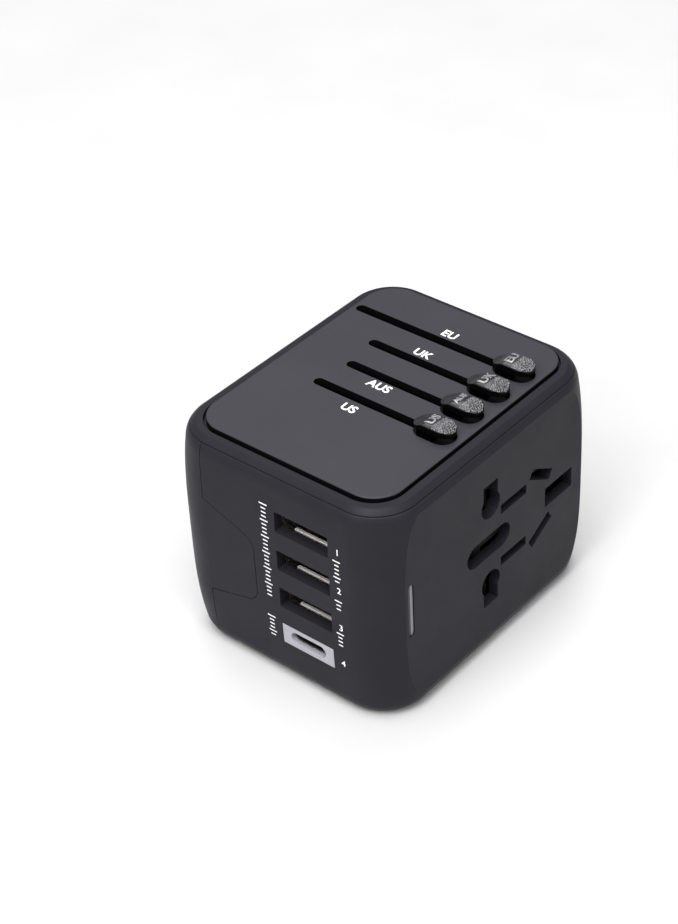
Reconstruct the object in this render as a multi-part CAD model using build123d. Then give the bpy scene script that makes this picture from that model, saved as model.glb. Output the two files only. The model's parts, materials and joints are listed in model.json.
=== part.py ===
from build123d import *

import math
import os

# Universal travel adapter. X runs along the sliders: the pins leave at -X and the socket face is at +X.
# The ports are on the -Y side. Z = 0 is the surface that the adapter stands on. Millimetres.

# Housing
HALF_LENGTH = 26.75          # flat socket face to the middle
BARREL_HALF_X = 27.9         # barrel shape before the two flats are cut
HALF_WIDTH = 33.5
RIM_TOP = 50.0
BARREL_INSET_TOP = (1.9, 0.65)     # how far the sides lean in at the top, X and Y
BARREL_INSET_BOTTOM = (2.35, 1.3)
BARREL_SQUARENESS = 3.4      # power of the bow: 2 is round, more keeps the middle flatter
CORNER_RADIUS = 10.2
BOTTOM_RADIUS = 4.4
SHOULDER_RADIUS = 4.4        # the sides round over towards the lid
SHOULDER_TOP = 50.6          # where that rounding would end; the lid is cut flat below it
WALL = 2.2
SEAM_TOP = 48.95             # parting line under the lid frame
SEAM_GAP = 0.13
SEAM_EDGE = 0.12             # small chamfer on both edges of a seam
CAP_SEAM_X = -17.6           # vertical seam of the plug end cap
TAB_DEPTH = 1.1

# Top plate and its slots
PLATE_X = (-22.95, 22.65)
PLATE_Y = (-29.0, 29.75)
PLATE_RADIUS = 6.4
PLATE_POCKET_X = (-23.4, 23.13)
PLATE_POCKET_Y = (-29.75, 30.15)
PLATE_REST = 1.2             # width of the ledge under the plate's edge
PLATE_TOP = 50.6
PLATE_BOTTOM = 49.0
LEDGE_BOTTOM = 48.0
SLOT_WIDTH = 2.2
RECESS_WIDTH = 5.5
RECESS_X = (12.4, 21.35)
LANE_PITCH = 8.2
LANE_Y = {"us": -5.85, "aus": 2.35, "uk": 10.55, "eu": 18.75}
SLOT_END_X = {"us": -12.3, "aus": -10.9, "uk": -12.1, "eu": -22.0}

# Sliders
TRAVEL = {"us": 23.2, "aus": 23.2, "uk": 23.2, "eu": 31.0}
CARRIER_OUT_X = -24.4        # front of a carriage when its pins are out
CARRIER_THICK = {"us": 5.0, "aus": 5.0, "uk": 5.0, "eu": 3.0}
RAIL_WIDTH = 6.0
RAIL_Z = (45.2, 48.1)
RAIL_FRONT_DROP_Z = 47.7     # the carriage nose passes under the plate ledge
RAIL_NOSE = 2.9
RAIL_END_X = 21.0
COVER_TOP = 48.7
POCKET_X = (12.2, 18.2)
POCKET_WIDTH = 4.2
POCKET_FLOOR = 45.7
NECK_X = (12.9, 16.5)
NECK_WIDTH = 1.7
FOOT_Z = (47.1, 48.0)
KNOB_X = (12.4, 21.4)
KNOB_WIDTH = 4.7
KNOB_BOTTOM = 51.75
KNOB_TOP = 53.6
KNOB_CROWN = 5.6

# Socket pattern: centre of the live and neutral pair on the +X face
SOCKET_Y = -2.0
SOCKET_Z = 26.3
UK_LINE = 11.1               # live and neutral above and below the centre
UK_EARTH = 22.2
UK_SLOT = (4.5, 7.1)         # along Y and Z
UK_EARTH_SLOT = (9.0, 4.6)
EU_LINE = 9.5
EU_HOLE_RADIUS = 2.9
US_LINE = 6.35
US_SLOT = (8.2, 2.2)
US_OFFSET = 7.3
AU_LINE = 6.86
AU_SLOT = (7.5, 2.3)
AU_OFFSET = 16.2
AU_TILT = 30.0
OVAL_Y = (-7.4, 6.2)
OVAL_RADIUS = 2.6

# Pins
END_WALL = 2.35              # carriage to the outer end face when the pins are out
UK_PIN = (3.97, 6.35, 17.7)
UK_EARTH_PIN = (7.92, 3.97, 22.7)
EU_PIN_RADIUS = 2.0
EU_PIN_LENGTH = 19.0
BLADE_WIDTH = 6.35
US_BLADE = (1.5, 16.5)
AU_BLADE = (1.6, 17.1)
PIN_Y = {"us": -17.0, "aus": -9.0, "uk": SOCKET_Y, "eu": 9.0}
PIN_CLEARANCE = 0.3

# Ports on the -Y side
PORT_X = 6.92
PORT_OPENING = (12.85, 4.7)
PORT_TOP_Z = 39.5
PORT_PITCH = 9.05
PORT_SHELL_INNER = (12.5, 4.6)
PORT_SHELL_WALL = 0.3
PORT_SHELL_Y = (-31.2, -20.9)
TYPE_C_Z = 12.44
TYPE_C_BEZEL = (12.7, 4.9)
TYPE_C_OPENING = (8.34, 2.56)

# Indicator
LIGHT_Y = -26.4
LIGHT_Z = 26.5
LIGHT_SIZE = (1.65, 12.4)
LIGHT_SINK = 0.3             # the rod ends a little below the socket face

# Shutter behind the live and neutral holes
SHUTTER_X = (22.5, 24.1)

# Inner boards
BOARD_Z = (3.4, 5.0)
BLOCK_X = (12.3, 21.8)
BOSS_LENGTH = 8.0
FUSE_MIDDLE = (1.4, 26.8, 9.2)
SCREW_SPOTS = [(y, z) for y in (-26.0, 26.0) for z in (9.0, 40.5)]


def block(x0, x1, y0, y1, z0, z1):
    """A box between two corners."""
    centre = ((x0 + x1) / 2, (y0 + y1) / 2, (z0 + z1) / 2)
    return Pos(*centre) * Box(abs(x1 - x0), abs(y1 - y0), abs(z1 - z0))


def along_x(shape, x0, x1, y, z, turn=0.0):
    """Extrudes a flat shape, drawn as (Y, Z), from x0 to x1."""
    plane = Plane(origin=(x0, y, z), x_dir=(0, 1, 0), z_dir=(1, 0, 0))
    return extrude(plane * (Rot(0, 0, turn) * shape), amount=x1 - x0)


def along_y(shape, x, y0, y1, z):
    """Extrudes a flat shape, drawn as (X, Z), from y0 to y1."""
    plane = Plane(origin=(x, y1, z), x_dir=(1, 0, 0), z_dir=(0, -1, 0))
    return extrude(plane * shape, amount=y1 - y0)


def rod_x(radius, x0, x1, y, z):
    """A round bar along X."""
    return along_x(Circle(radius), x0, x1, y, z)


def stadium(length, width):
    """A slot shape with round ends, its full length along the first axis."""
    return SlotOverall(length, width)


def bow_points(half, inset, z_middle, z_end, grow):
    """Points of one bowed side, from the middle height to one end."""
    points = []
    for step in range(1, 5):
        share = step / 4
        x = half + grow - inset * share ** BARREL_SQUARENESS
        points.append((x, z_middle + share * (z_end - z_middle)))
    return points


def bowed_section(half, inset_bottom, inset_top, grow):
    """Side view of the barrel: two bowed sides between flat ends."""
    low = -1.0
    high = RIM_TOP + 1.0
    middle = RIM_TOP / 2
    upper = bow_points(half, inset_top, middle, high, grow)
    lower = bow_points(half, inset_bottom, middle, low, grow)
    side = lower[::-1] + [(half + grow, middle)] + upper
    right = Spline(*side)
    top = Line(side[-1], (-side[-1][0], high))
    left = Spline(*[(-x, z) for x, z in reversed(side)])
    bottom = Line((-side[0][0], low), side[0])
    return make_face(Curve() + [right, top, left, bottom])


def barrel(grow, z0, z1):
    """The housing's outer form grown by an offset, between two heights and without edge radii."""
    side_x = bowed_section(BARREL_HALF_X, BARREL_INSET_BOTTOM[0], BARREL_INSET_TOP[0], grow)
    side_y = bowed_section(HALF_WIDTH, BARREL_INSET_BOTTOM[1], BARREL_INSET_TOP[1], grow)
    reach = 2 * HALF_WIDTH
    form = extrude(Plane.XZ * side_x, amount=reach, both=True)
    form &= extrude(Plane.YZ * side_y, amount=reach, both=True)
    corners = [e for e in form.edges() if e.bounding_box().size.Z > RIM_TOP / 2]
    form = fillet(corners, CORNER_RADIUS + grow)
    return form & block(-reach, reach, -reach, reach, z0, z1)


def flats(form, grow):
    """Cuts the two flat end faces."""
    reach = 2 * HALF_WIDTH
    half = HALF_LENGTH + grow
    return form & block(-half, half, -reach, reach, -1.0, RIM_TOP + 1.0)


def edges_at_height(form, z):
    """All edges that lie in one horizontal plane."""
    return form.edges().filter_by_position(Axis.Z, z - 0.001, z + 0.001)


def outer_edges(form, z):
    """The longest closed chain of edges in one horizontal plane."""
    face = form.faces().filter_by_position(Axis.Z, z - 0.001, z + 0.001).sort_by(SortBy.AREA)[-1]
    return face.outer_wire().edges()


def housing_form():
    """The whole outer form with its edge radii; the lid's top is cut flat."""
    form = barrel(0.0, 0.0, SHOULDER_TOP)
    form = fillet(edges_at_height(form, SHOULDER_TOP), SHOULDER_RADIUS)
    form = fillet(edges_at_height(form, 0.0), BOTTOM_RADIUS)
    reach = 2 * HALF_WIDTH
    return flats(form, 0.0) & block(-reach, reach, -reach, reach, 0.0, RIM_TOP)


def rounded_plan(x_range, y_range, radius, z0, z1, shrink=0.0):
    """Upright prism on a rounded rectangle given by its X and Y ranges."""
    size = (x_range[1] - x_range[0] - 2 * shrink, y_range[1] - y_range[0] - 2 * shrink)
    centre = (sum(x_range) / 2, sum(y_range) / 2, z0)
    return extrude(Pos(*centre) * RectangleRounded(*size, radius - shrink), z1 - z0)


def tab_outline(grow):
    """The end cap's side tab, drawn as (X, Z): a rounded trapezoid that opens to the corner."""
    back_x = CAP_SEAM_X - 3.0
    nose_x = -5.4
    outline = make_face(Polyline((back_x, 37.6), (nose_x, 32.0), (nose_x, 17.5), (back_x, 13.6), close=True))
    outline = fillet(outline.vertices().filter_by_position(Axis.X, nose_x - 1, nose_x + 1), 3.2)
    return offset(outline, grow, kind=Kind.ARC) if grow else outline


def tab_prisms(grow):
    """The tab outline swept right across the adapter, for both sides at once."""
    reach = HALF_WIDTH + 2.0
    return extrude(Plane.XZ * tab_outline(grow), amount=reach, both=True)


def socket_holes(x0, x1, extra=0.0):
    """Every opening of the socket pattern, as one tool."""
    y, z = SOCKET_Y, SOCKET_Z
    grow = 2 * extra
    tools = []
    for side in (-1, 1):
        tools.append(along_x(Rectangle(UK_SLOT[0] + grow, UK_SLOT[1] + grow), x0, x1, y, z + side * UK_LINE))
        tools.append(rod_x(EU_HOLE_RADIUS + extra, x0, x1, y, z + side * EU_LINE))
        us_slot = Rectangle(US_SLOT[0] + grow, US_SLOT[1] + grow)
        tools.append(along_x(us_slot, x0, x1, y + US_OFFSET, z + side * US_LINE))
        au_slot = Rectangle(AU_SLOT[0] + grow, AU_SLOT[1] + grow)
        tools.append(along_x(au_slot, x0, x1, y + AU_OFFSET, z + side * AU_LINE, -side * AU_TILT))
    earth_slot = Rectangle(UK_EARTH_SLOT[0] + grow, UK_EARTH_SLOT[1] + grow)
    tools.append(along_x(earth_slot, x0, x1, y + UK_EARTH, z))
    oval = stadium(OVAL_Y[1] - OVAL_Y[0] + grow, 2 * (OVAL_RADIUS + extra))
    tools.append(along_x(oval, x0, x1, y + sum(OVAL_Y) / 2, z))
    return Part() + tools


def port_heights():
    """Centre heights of the three stacked ports, top first."""
    return [PORT_TOP_Z - row * PORT_PITCH for row in range(3)]


def bar(y0, y1, z0, z1, x0, x1):
    """A carriage bar, given by its cross-section first."""
    return block(x0, x1, y0, y1, z0, z1)


def pin_tools(name, front, back, extra=0.0):
    """The pins of one set, or the holes for them, between two X positions."""
    y = PIN_Y[name]
    tools = []
    for side in (-1, 1):
        if name == "eu":
            tools.append(rod_x(EU_PIN_RADIUS + extra, front, back, y, SOCKET_Z + side * EU_LINE))
        elif name == "uk":
            pin = Rectangle(UK_PIN[0] + 2 * extra, UK_PIN[1] + 2 * extra)
            tools.append(along_x(pin, front, back, y, SOCKET_Z + side * UK_LINE))
        elif name == "us":
            blade = Rectangle(BLADE_WIDTH + 2 * extra, US_BLADE[0] + 2 * extra)
            tools.append(along_x(blade, front, back, y, SOCKET_Z + side * US_LINE))
        else:
            blade = Rectangle(BLADE_WIDTH + 2 * extra, AU_BLADE[0] + 2 * extra)
            tools.append(along_x(blade, front, back, y, SOCKET_Z + side * AU_LINE, -side * AU_TILT))
    return tools


def earth_pin_tool(front, back, extra=0.0):
    """The long UK earth pin, or the hole for it."""
    pin = Rectangle(UK_EARTH_PIN[0] + 2 * extra, UK_EARTH_PIN[1] + 2 * extra)
    return along_x(pin, front, back, SOCKET_Y + UK_EARTH, SOCKET_Z)


def pin_length(name):
    """Free length of the live and neutral pins of one set."""
    return {"eu": EU_PIN_LENGTH, "uk": UK_PIN[2], "us": US_BLADE[1], "aus": AU_BLADE[1]}[name]


def carrier_front(name):
    """X of the carriage front with the pins retracted."""
    return CARRIER_OUT_X + TRAVEL[name]


FORM = housing_form()
CAVITY = flats(barrel(-WALL, WALL, RIM_TOP + 1.0), -WALL)
SKIN = FORM - flats(barrel(-TAB_DEPTH, -1.0, RIM_TOP + 1.0), -TAB_DEPTH)


def below_lid(x0, x1):
    """Solid part of the outer form under the lid's seam, between two X positions."""
    reach = 2 * HALF_WIDTH
    top = SEAM_TOP - SEAM_GAP
    form = FORM & block(-reach, reach, -reach, reach, 0.0, top)
    form = chamfer(edges_at_height(form, top), SEAM_EDGE)
    return form & block(x0, x1, -reach, reach, 0.0, top)


def main_housing():
    """Barrel-shaped shell with the socket face, the port face and the bosses inside."""
    reach = 2 * HALF_WIDTH
    body = below_lid(CAP_SEAM_X, reach) - CAVITY
    for y, z in SCREW_SPOTS:
        boss_end = CAP_SEAM_X + BOSS_LENGTH
        body += rod_x(2.6, CAP_SEAM_X + 0.1, boss_end, y, z) & barrel(-1.0, 0.0, RIM_TOP)
        wall_side = math.copysign(HALF_WIDTH, y)
        rib = block(CAP_SEAM_X + 0.1, boss_end, y, wall_side, z - 0.8, z + 0.8)
        body += rib & barrel(-1.0, 0.0, RIM_TOP)
        body -= rod_x(1.1, CAP_SEAM_X - 1.0, boss_end - 0.8, y, z)
    body -= SKIN & tab_prisms(0.15)
    body -= socket_holes(HALF_LENGTH - WALL - 1.0, HALF_LENGTH + 1.0)
    for y, z in ((22.5, 13.5), (22.5, -13.5), (8.0, 14.0), (8.0, -14.0)):
        body += rod_x(1.5, BLOCK_X[1], HALF_LENGTH - WALL + 0.1, y, SOCKET_Z + z)
    for z in port_heights():
        mouth = RectangleRounded(*PORT_OPENING, 0.3)
        body -= along_y(mouth, PORT_X, -HALF_WIDTH - 1, PORT_SHELL_Y[0] + 0.3, z)
        seat = [size + 2 * PORT_SHELL_WALL + 0.1 for size in PORT_SHELL_INNER]
        body -= along_y(Rectangle(*seat), PORT_X, PORT_SHELL_Y[0] - 0.05, PORT_SHELL_Y[0] + 3.0, z)
    body -= along_y(Rectangle(*TYPE_C_BEZEL), PORT_X, -HALF_WIDTH - 1, -HALF_WIDTH + 5, TYPE_C_Z)
    light_slot = stadium(LIGHT_SIZE[1], LIGHT_SIZE[0])
    body -= along_x(light_slot, HALF_LENGTH - WALL - 1, HALF_LENGTH + 1, LIGHT_Y, LIGHT_Z, 90)
    for x in (-8.0, 18.0):
        for y in (-20.0, 20.0):
            body += Pos(x, y, (WALL - 0.1 + BOARD_Z[0]) / 2) * Cylinder(2.0, BOARD_Z[0] - WALL + 0.1)
    return body


def plug_end_cap():
    """End cap with the pin openings; its two tabs lie in pockets of the main housing."""
    reach = 2 * HALF_WIDTH
    seam = CAP_SEAM_X - SEAM_GAP
    cap = below_lid(-reach, seam) - CAVITY
    cap += SKIN & tab_prisms(0.0)
    for name in LANE_Y:
        cap -= Part() + pin_tools(name, -reach, CARRIER_OUT_X, PIN_CLEARANCE)
    cap -= earth_pin_tool(-reach, CARRIER_OUT_X, PIN_CLEARANCE)
    for y, z in SCREW_SPOTS:
        cap += rod_x(2.6, -HALF_LENGTH + 1.0, seam, y, z) & barrel(-1.0, 0.0, RIM_TOP)
        cap -= rod_x(1.3, -reach, seam + 1.0, y, z)
        cap -= rod_x(2.1, -reach, -HALF_LENGTH + 2.0, y, z)
    return cap


def cap_screws():
    """Four round-headed screws with a cross recess, in the end face."""
    screws = []
    for y, z in SCREW_SPOTS:
        head_x = -HALF_LENGTH + 0.3
        screw = rod_x(1.95, head_x, -HALF_LENGTH + 2.0, y, z)
        screw += rod_x(1.05, -HALF_LENGTH + 1.9, CAP_SEAM_X + BOSS_LENGTH - 1.5, y, z)
        screw -= block(head_x - 1, head_x + 0.8, y - 1.2, y + 1.2, z - 0.25, z + 0.25)
        screw -= block(head_x - 1, head_x + 0.8, y - 0.25, y + 0.25, z - 1.2, z + 1.2)
        screws.append(screw)
    return screws


def top_frame():
    """Thin rim above the seam, with the ledge that the top plate rests on."""
    reach = 2 * HALF_WIDTH
    rim = FORM & block(-reach, reach, -reach, reach, SEAM_TOP, RIM_TOP)
    rim = chamfer(outer_edges(rim, SEAM_TOP), SEAM_EDGE)
    pocket_radius = PLATE_RADIUS + PLATE_POCKET_X[1] - PLATE_X[1]
    rim -= rounded_plan(PLATE_POCKET_X, PLATE_POCKET_Y, pocket_radius, SEAM_TOP - 1.0, RIM_TOP + 1.0)
    spigot = flats(barrel(-WALL - 0.15, LEDGE_BOTTOM, SEAM_TOP + 0.1), -WALL - 0.15)
    spigot &= block(-reach, reach, -reach, reach, LEDGE_BOTTOM, SEAM_TOP)
    spigot -= rounded_plan(PLATE_X, PLATE_Y, PLATE_RADIUS, LEDGE_BOTTOM - 1.0, SEAM_TOP + 1.0, PLATE_REST)
    return rim + spigot


def slot_tools(z0, z1):
    """The four slots with their wide recesses."""
    tools = []
    for name, y in LANE_Y.items():
        length = RECESS_X[1] - 1.0 - SLOT_END_X[name]
        middle = (RECESS_X[1] - 1.0 + SLOT_END_X[name]) / 2
        tools.append(extrude(Pos(middle, y, z0) * stadium(length, SLOT_WIDTH), z1 - z0))
        recess = stadium(RECESS_X[1] - RECESS_X[0], RECESS_WIDTH)
        tools.append(extrude(Pos(sum(RECESS_X) / 2, y, z0) * recess, z1 - z0))
    return Part() + tools


def top_plate():
    """Raised plate with the slots, and under it the ribs that guide the sliders."""
    plate = rounded_plan(PLATE_X, PLATE_Y, PLATE_RADIUS, PLATE_BOTTOM, PLATE_TOP)
    plate = fillet(edges_at_height(plate, PLATE_TOP), 0.3)
    plate -= slot_tools(PLATE_BOTTOM - 1, PLATE_TOP + 1)
    rib_x = (-21.5, 21.2)
    foot_z = (RAIL_Z[0] - 0.7, RAIL_Z[0] - 0.2)
    first_lane = min(LANE_Y.values())
    for number in range(5):
        y = first_lane + (number - 0.5) * LANE_PITCH
        start_x = 4.6 if number == 0 else rib_x[0]
        plate += block(start_x, rib_x[1], y - 0.6, y + 0.6, foot_z[0], PLATE_BOTTOM + 0.1)
        plate += block(start_x, rib_x[1], y - 1.7, y + 1.7, *foot_z)
    return plate


def carriage(name):
    """One slider's carriage: a rail under the top plate, and the bars that reach its pins."""
    front = carrier_front(name)
    back = front + CARRIER_THICK[name]
    lane = LANE_Y[name]
    half = RAIL_WIDTH / 2
    body = block(front, RAIL_END_X, lane - half, lane + half, RAIL_Z[0], RAIL_FRONT_DROP_Z)
    body += block(front + RAIL_NOSE, RAIL_END_X, lane - half, lane + half, *RAIL_Z)
    y = PIN_Y[name]
    if name == "uk":
        body += bar(lane - 2.0, lane + 2.0, 41.0, RAIL_Z[0] + 0.1, front, back)
        body += bar(y - 2.5, lane + 2.0, 39.0, 41.9, front, back)
        body += bar(y - 2.5, y + 2.5, 6.2, 40.0, front, back)
        body += bar(y - 2.5, 23.4, 6.2, 10.5, front, back)
        body += bar(17.0, 23.4, 6.2, 30.8, front, back)
    elif name == "eu":
        body += bar(lane - 2.0, lane + 2.0, 34.0, RAIL_Z[0] + 0.1, front, back)
        body += bar(y - 3.0, lane + 2.0, 33.4, 38.3, front, back)
        body += bar(y - 3.0, y + 3.0, 13.4, 38.3, front, back)
    elif name == "aus":
        body += bar(lane - 2.0, lane + 2.0, 42.4, RAIL_Z[0] + 0.1, front, back)
        body += bar(y - 2.7, lane + 2.0, 42.4, 44.2, front, back)
        body += bar(y - 2.7, y + 2.7, 15.6, 44.2, front, back)
        for tool in pin_tools(name, front, back, 0.6):
            body += tool
    else:
        body += bar(y - 2.4, lane, RAIL_Z[0], 47.4, front, back)
        body += bar(y - 2.4, y + 2.4, 17.6, 47.4, front, back)
        for tool in pin_tools(name, front, back, 0.4):
            body += tool
    body -= Part() + pin_tools(name, front - 1, back + 1)
    if name == "uk":
        body += bar(16.0, 24.4, 23.6, 29.0, front, back)
        body -= earth_pin_tool(front - 1, back + 1)
    pocket_half = POCKET_WIDTH / 2
    body -= block(*POCKET_X, lane - pocket_half, lane + pocket_half, POCKET_FLOOR, RAIL_Z[1] + 1)
    return body


def button_cover(name):
    """Thin cover on the rail that keeps the button's foot in its pocket."""
    lane = LANE_Y[name]
    half = RAIL_WIDTH / 2
    cover = block(POCKET_X[0] - 1.2, RAIL_END_X, lane - half, lane + half, RAIL_Z[1], COVER_TOP)
    neck_half = NECK_WIDTH / 2 + 0.15
    cover -= block(NECK_X[0] - 0.15, NECK_X[1] + 0.15, lane - neck_half, lane + neck_half, RAIL_Z[1] - 1, 50)
    return cover


def knob_head(lane):
    """Slider knob: a ramp that rises out of the slot into a rounded grip dome."""
    length = KNOB_X[1] - KNOB_X[0]
    middle = sum(KNOB_X) / 2
    tip = KNOB_X[0]
    end = KNOB_X[1]
    side = Curve() + [
        Line((tip, KNOB_BOTTOM), (end, KNOB_BOTTOM)),
        Line((end, KNOB_BOTTOM), (end, KNOB_BOTTOM + 0.8)),
        ThreePointArc((end, KNOB_BOTTOM + 0.8), (end - 2.2, KNOB_TOP - 0.12), (end - 4.2, KNOB_TOP)),
        Spline(
            (end - 4.2, KNOB_TOP),
            (tip + 2.2, KNOB_BOTTOM + 1.05),
            (tip, KNOB_BOTTOM + 0.35),
            tangents=[(-1, 0), (-1, -0.15)],
        ),
        Line((tip, KNOB_BOTTOM + 0.35), (tip, KNOB_BOTTOM)),
    ]
    profile = extrude(Plane.XZ.offset(-lane) * make_face(side), amount=KNOB_WIDTH, both=True)
    plan = stadium(length, KNOB_WIDTH)
    head = extrude(Pos(middle, lane, KNOB_BOTTOM) * plan, KNOB_TOP) & profile
    crown = Pos(middle, lane, KNOB_TOP - KNOB_CROWN) * Rot(0, 90, 0) * Cylinder(KNOB_CROWN, 2 * length)
    return head & crown


def slider_button(name):
    """Knob, neck and foot in one piece; it is pressed down to free the slider."""
    lane = LANE_Y[name]
    button = knob_head(lane)
    neck_half = NECK_WIDTH / 2
    button += block(*NECK_X, lane - neck_half, lane + neck_half, FOOT_Z[1] - 0.1, KNOB_BOTTOM + 0.3)
    button += block(POCKET_X[0] + 0.3, POCKET_X[1] - 0.3, lane - 1.9, lane + 1.9, *FOOT_Z)
    return button


def press_spring(name):
    """Small coil spring under the button's foot."""
    wire = 0.13
    coil_radius = 1.3
    height = FOOT_Z[0] - POCKET_FLOOR - 2 * wire - 0.04
    centre = (sum(POCKET_X) / 2, LANE_Y[name], POCKET_FLOOR + wire + 0.02)
    path = Helix(pitch=height / 2.5, height=height, radius=coil_radius)
    start = Plane(origin=path @ 0, z_dir=path % 0)
    return Pos(*centre) * sweep(start * Circle(wire), path=path, is_frenet=True)


def pin_set(name):
    """Live and neutral pins of one set, with rounded or chamfered tips."""
    front = carrier_front(name)
    tip = front - END_WALL - pin_length(name)
    pins = pin_tools(name, tip, front + CARRIER_THICK[name])
    finished = []
    for pin in pins:
        nose = pin.faces().sort_by(Axis.X)[0].edges()
        finished.append(chamfer(nose, 0.9 if name == "eu" else 0.45))
    return finished


def uk_earth_pin():
    """Insulating UK earth pin, longer than the other two."""
    front = carrier_front("uk")
    pin = earth_pin_tool(front - END_WALL - UK_EARTH_PIN[2], front + CARRIER_THICK["uk"])
    return chamfer(pin.faces().sort_by(Axis.X)[0].edges(), 0.7)


def safety_shutter():
    """C-shaped shutter: its two arms cover the live and neutral holes until a plug pushes it aside."""
    x0, x1 = SHUTTER_X
    spine_y = (-17.6, -10.0)
    arm_end = 1.2
    shutter = block(x0, x1, *spine_y, SOCKET_Z - 15.4, SOCKET_Z + 15.4)
    for side in (-1, 1):
        z0, z1 = sorted((SOCKET_Z + side * 6.3, SOCKET_Z + side * 15.4))
        arm = block(x0, x1, spine_y[1] - 1, arm_end, z0, z1)
        ramp_edge = arm.edges().filter_by(Axis.Z).group_by(Axis.Y)[-1].sort_by(Axis.X)[-1]
        shutter += chamfer(ramp_edge, 1.2)
    slot = SlotOverall(7.0, 1.3)
    shutter -= along_x(slot, x0 - 1, x1 + 1, -13.8, SOCKET_Z)
    return shutter


def shutter_spring():
    """Bent wire spring on the contact block; its end pin stands in the shutter's slot."""
    wire = 0.45
    pin_y = -16.7
    spring = rod_x(wire, 20.0, SHUTTER_X[1], pin_y, SOCKET_Z)
    arm = Pos(20.0, pin_y, SOCKET_Z - 4.0) * Cylinder(wire, 8.0 + 2 * wire)
    foot = Pos(20.0, -12.2, SOCKET_Z - 8.0) * Rot(90, 0, 0) * Cylinder(wire, 9.0 + wire)
    return spring + arm + foot


def cavity_box(side, x0, x1, gap):
    """Space of the live (+1) or neutral (-1) contact in the contact block."""
    z0, z1 = sorted((SOCKET_Z + side * (3.6 + gap), SOCKET_Z + side * (16.2 - gap)))
    return block(x0, x1, -6.3 + gap, 19.0 - gap, z0, z1)


def contact_block():
    """Insulating block behind the shutter, with a chamber for each contact."""
    x0, x1 = BLOCK_X
    body = block(x0, x1, -8.1, 25.4, SOCKET_Z - 17.0, SOCKET_Z + 17.0)
    chamber_end = x1 - 0.9
    for side in (-1, 1):
        body -= cavity_box(side, x0 - 1, chamber_end, 0.0)
    body -= block(x0 - 1, chamber_end, -7.4, 24.8, SOCKET_Z - 2.9, SOCKET_Z + 2.9)
    body -= socket_holes(x0, x1 + 1, 0.1)
    foot = Pos(20.0, -12.2, SOCKET_Z - 8.0)
    lug = block(18.6, 21.4, -10.6, -8.0, SOCKET_Z - 9.4, SOCKET_Z - 6.6)
    return body + lug - foot * Rot(90, 0, 0) * Cylinder(0.45, 9.45)


def line_contact(side):
    """Live (+1) or neutral (-1) contact: a strip with spring leaves for each kind of pin."""
    strip_x = (12.6, 13.3)
    leaf_end = 19.5
    contact = cavity_box(side, *strip_x, 0.2)
    leaves = []
    y, z = SOCKET_Y, SOCKET_Z
    for edge in (-1, 1):
        inner = UK_PIN[0] / 2 + 0.15
        y0, y1 = sorted((y + edge * inner, y + edge * (inner + 0.6)))
        z0, z1 = sorted((z + side * 8.2, z + side * 14.6))
        leaves.append(block(strip_x[0], leaf_end, y0, y1, z0, z1))
        us_gap = US_BLADE[0] / 2 + 0.4
        us_leaf = Pos(0, edge * us_gap) * Rectangle(6.0, 0.5)
        leaves.append(along_x(us_leaf, strip_x[0], leaf_end, y + US_OFFSET, z + side * US_LINE))
        au_leaf = Pos(0, edge * us_gap) * Rectangle(5.0, 0.5)
        leaf_z = z + side * AU_LINE
        leaves.append(along_x(au_leaf, strip_x[0], leaf_end, y + AU_OFFSET, leaf_z, -side * AU_TILT))
    pins = [
        along_x(Rectangle(UK_PIN[0] + 0.3, UK_PIN[1] + 0.3), 12, 14, y, z + side * UK_LINE),
        rod_x(EU_PIN_RADIUS + 0.1, 12, 14, y, z + side * EU_LINE),
        along_x(Rectangle(BLADE_WIDTH + 0.3, US_BLADE[0] + 0.3), 12, 14, y + US_OFFSET, z + side * US_LINE),
        along_x(
            Rectangle(BLADE_WIDTH + 0.3, AU_BLADE[0] + 0.3),
            12, 14, y + AU_OFFSET, z + side * AU_LINE, -side * AU_TILT,
        ),
    ]
    contact = contact - (Part() + pins)
    return contact + leaves


def earth_contact():
    """Earth contact: a strip with leaves for the UK earth pin and for the round earth pin."""
    strip_x = (12.6, 13.3)
    leaf_end = 19.5
    y, z = SOCKET_Y, SOCKET_Z
    contact = block(*strip_x, -7.1, 24.5, z - 2.7, z + 2.7)
    contact -= along_x(Rectangle(UK_EARTH_PIN[0] + 0.3, UK_EARTH_PIN[1] + 0.3), 12, 14, y + UK_EARTH, z)
    contact -= rod_x(2.45, 12, 14, y - 2.0, z)
    for edge in (-1, 1):
        z0, z1 = sorted((z + edge * 2.1, z + edge * 2.65))
        contact += block(strip_x[0], leaf_end, 17.2, 23.2, z0, z1)
        contact += block(strip_x[0], leaf_end, -5.6, 0.4, *sorted((z + edge * 2.46, z + edge * 2.7)))
    return contact


def light_pipe():
    """Clear rod of the indicator, with a flange behind the socket face."""
    slot_x = HALF_LENGTH - WALL - 0.15
    front_x = HALF_LENGTH - LIGHT_SINK
    rod = stadium(LIGHT_SIZE[1] - 0.1, LIGHT_SIZE[0] - 0.1)
    pipe = along_x(rod, slot_x - 1, front_x, LIGHT_Y, LIGHT_Z, 90)
    flange = stadium(LIGHT_SIZE[1] + 1.2, LIGHT_SIZE[0] + 0.7)
    pipe += along_x(flange, slot_x - 1.6, slot_x, LIGHT_Y, LIGHT_Z, 90)
    return pipe


def indicator_led():
    """Small LED on its carrier strip behind the light pipe."""
    led = block(20.6, 22.4, LIGHT_Y - 1.4, LIGHT_Y + 1.4, LIGHT_Z - 1.75, LIGHT_Z + 1.75)
    return led + block(20.0, 20.6, LIGHT_Y - 1.6, LIGHT_Y + 1.6, LIGHT_Z - 8.0, LIGHT_Z + 8.0)


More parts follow.
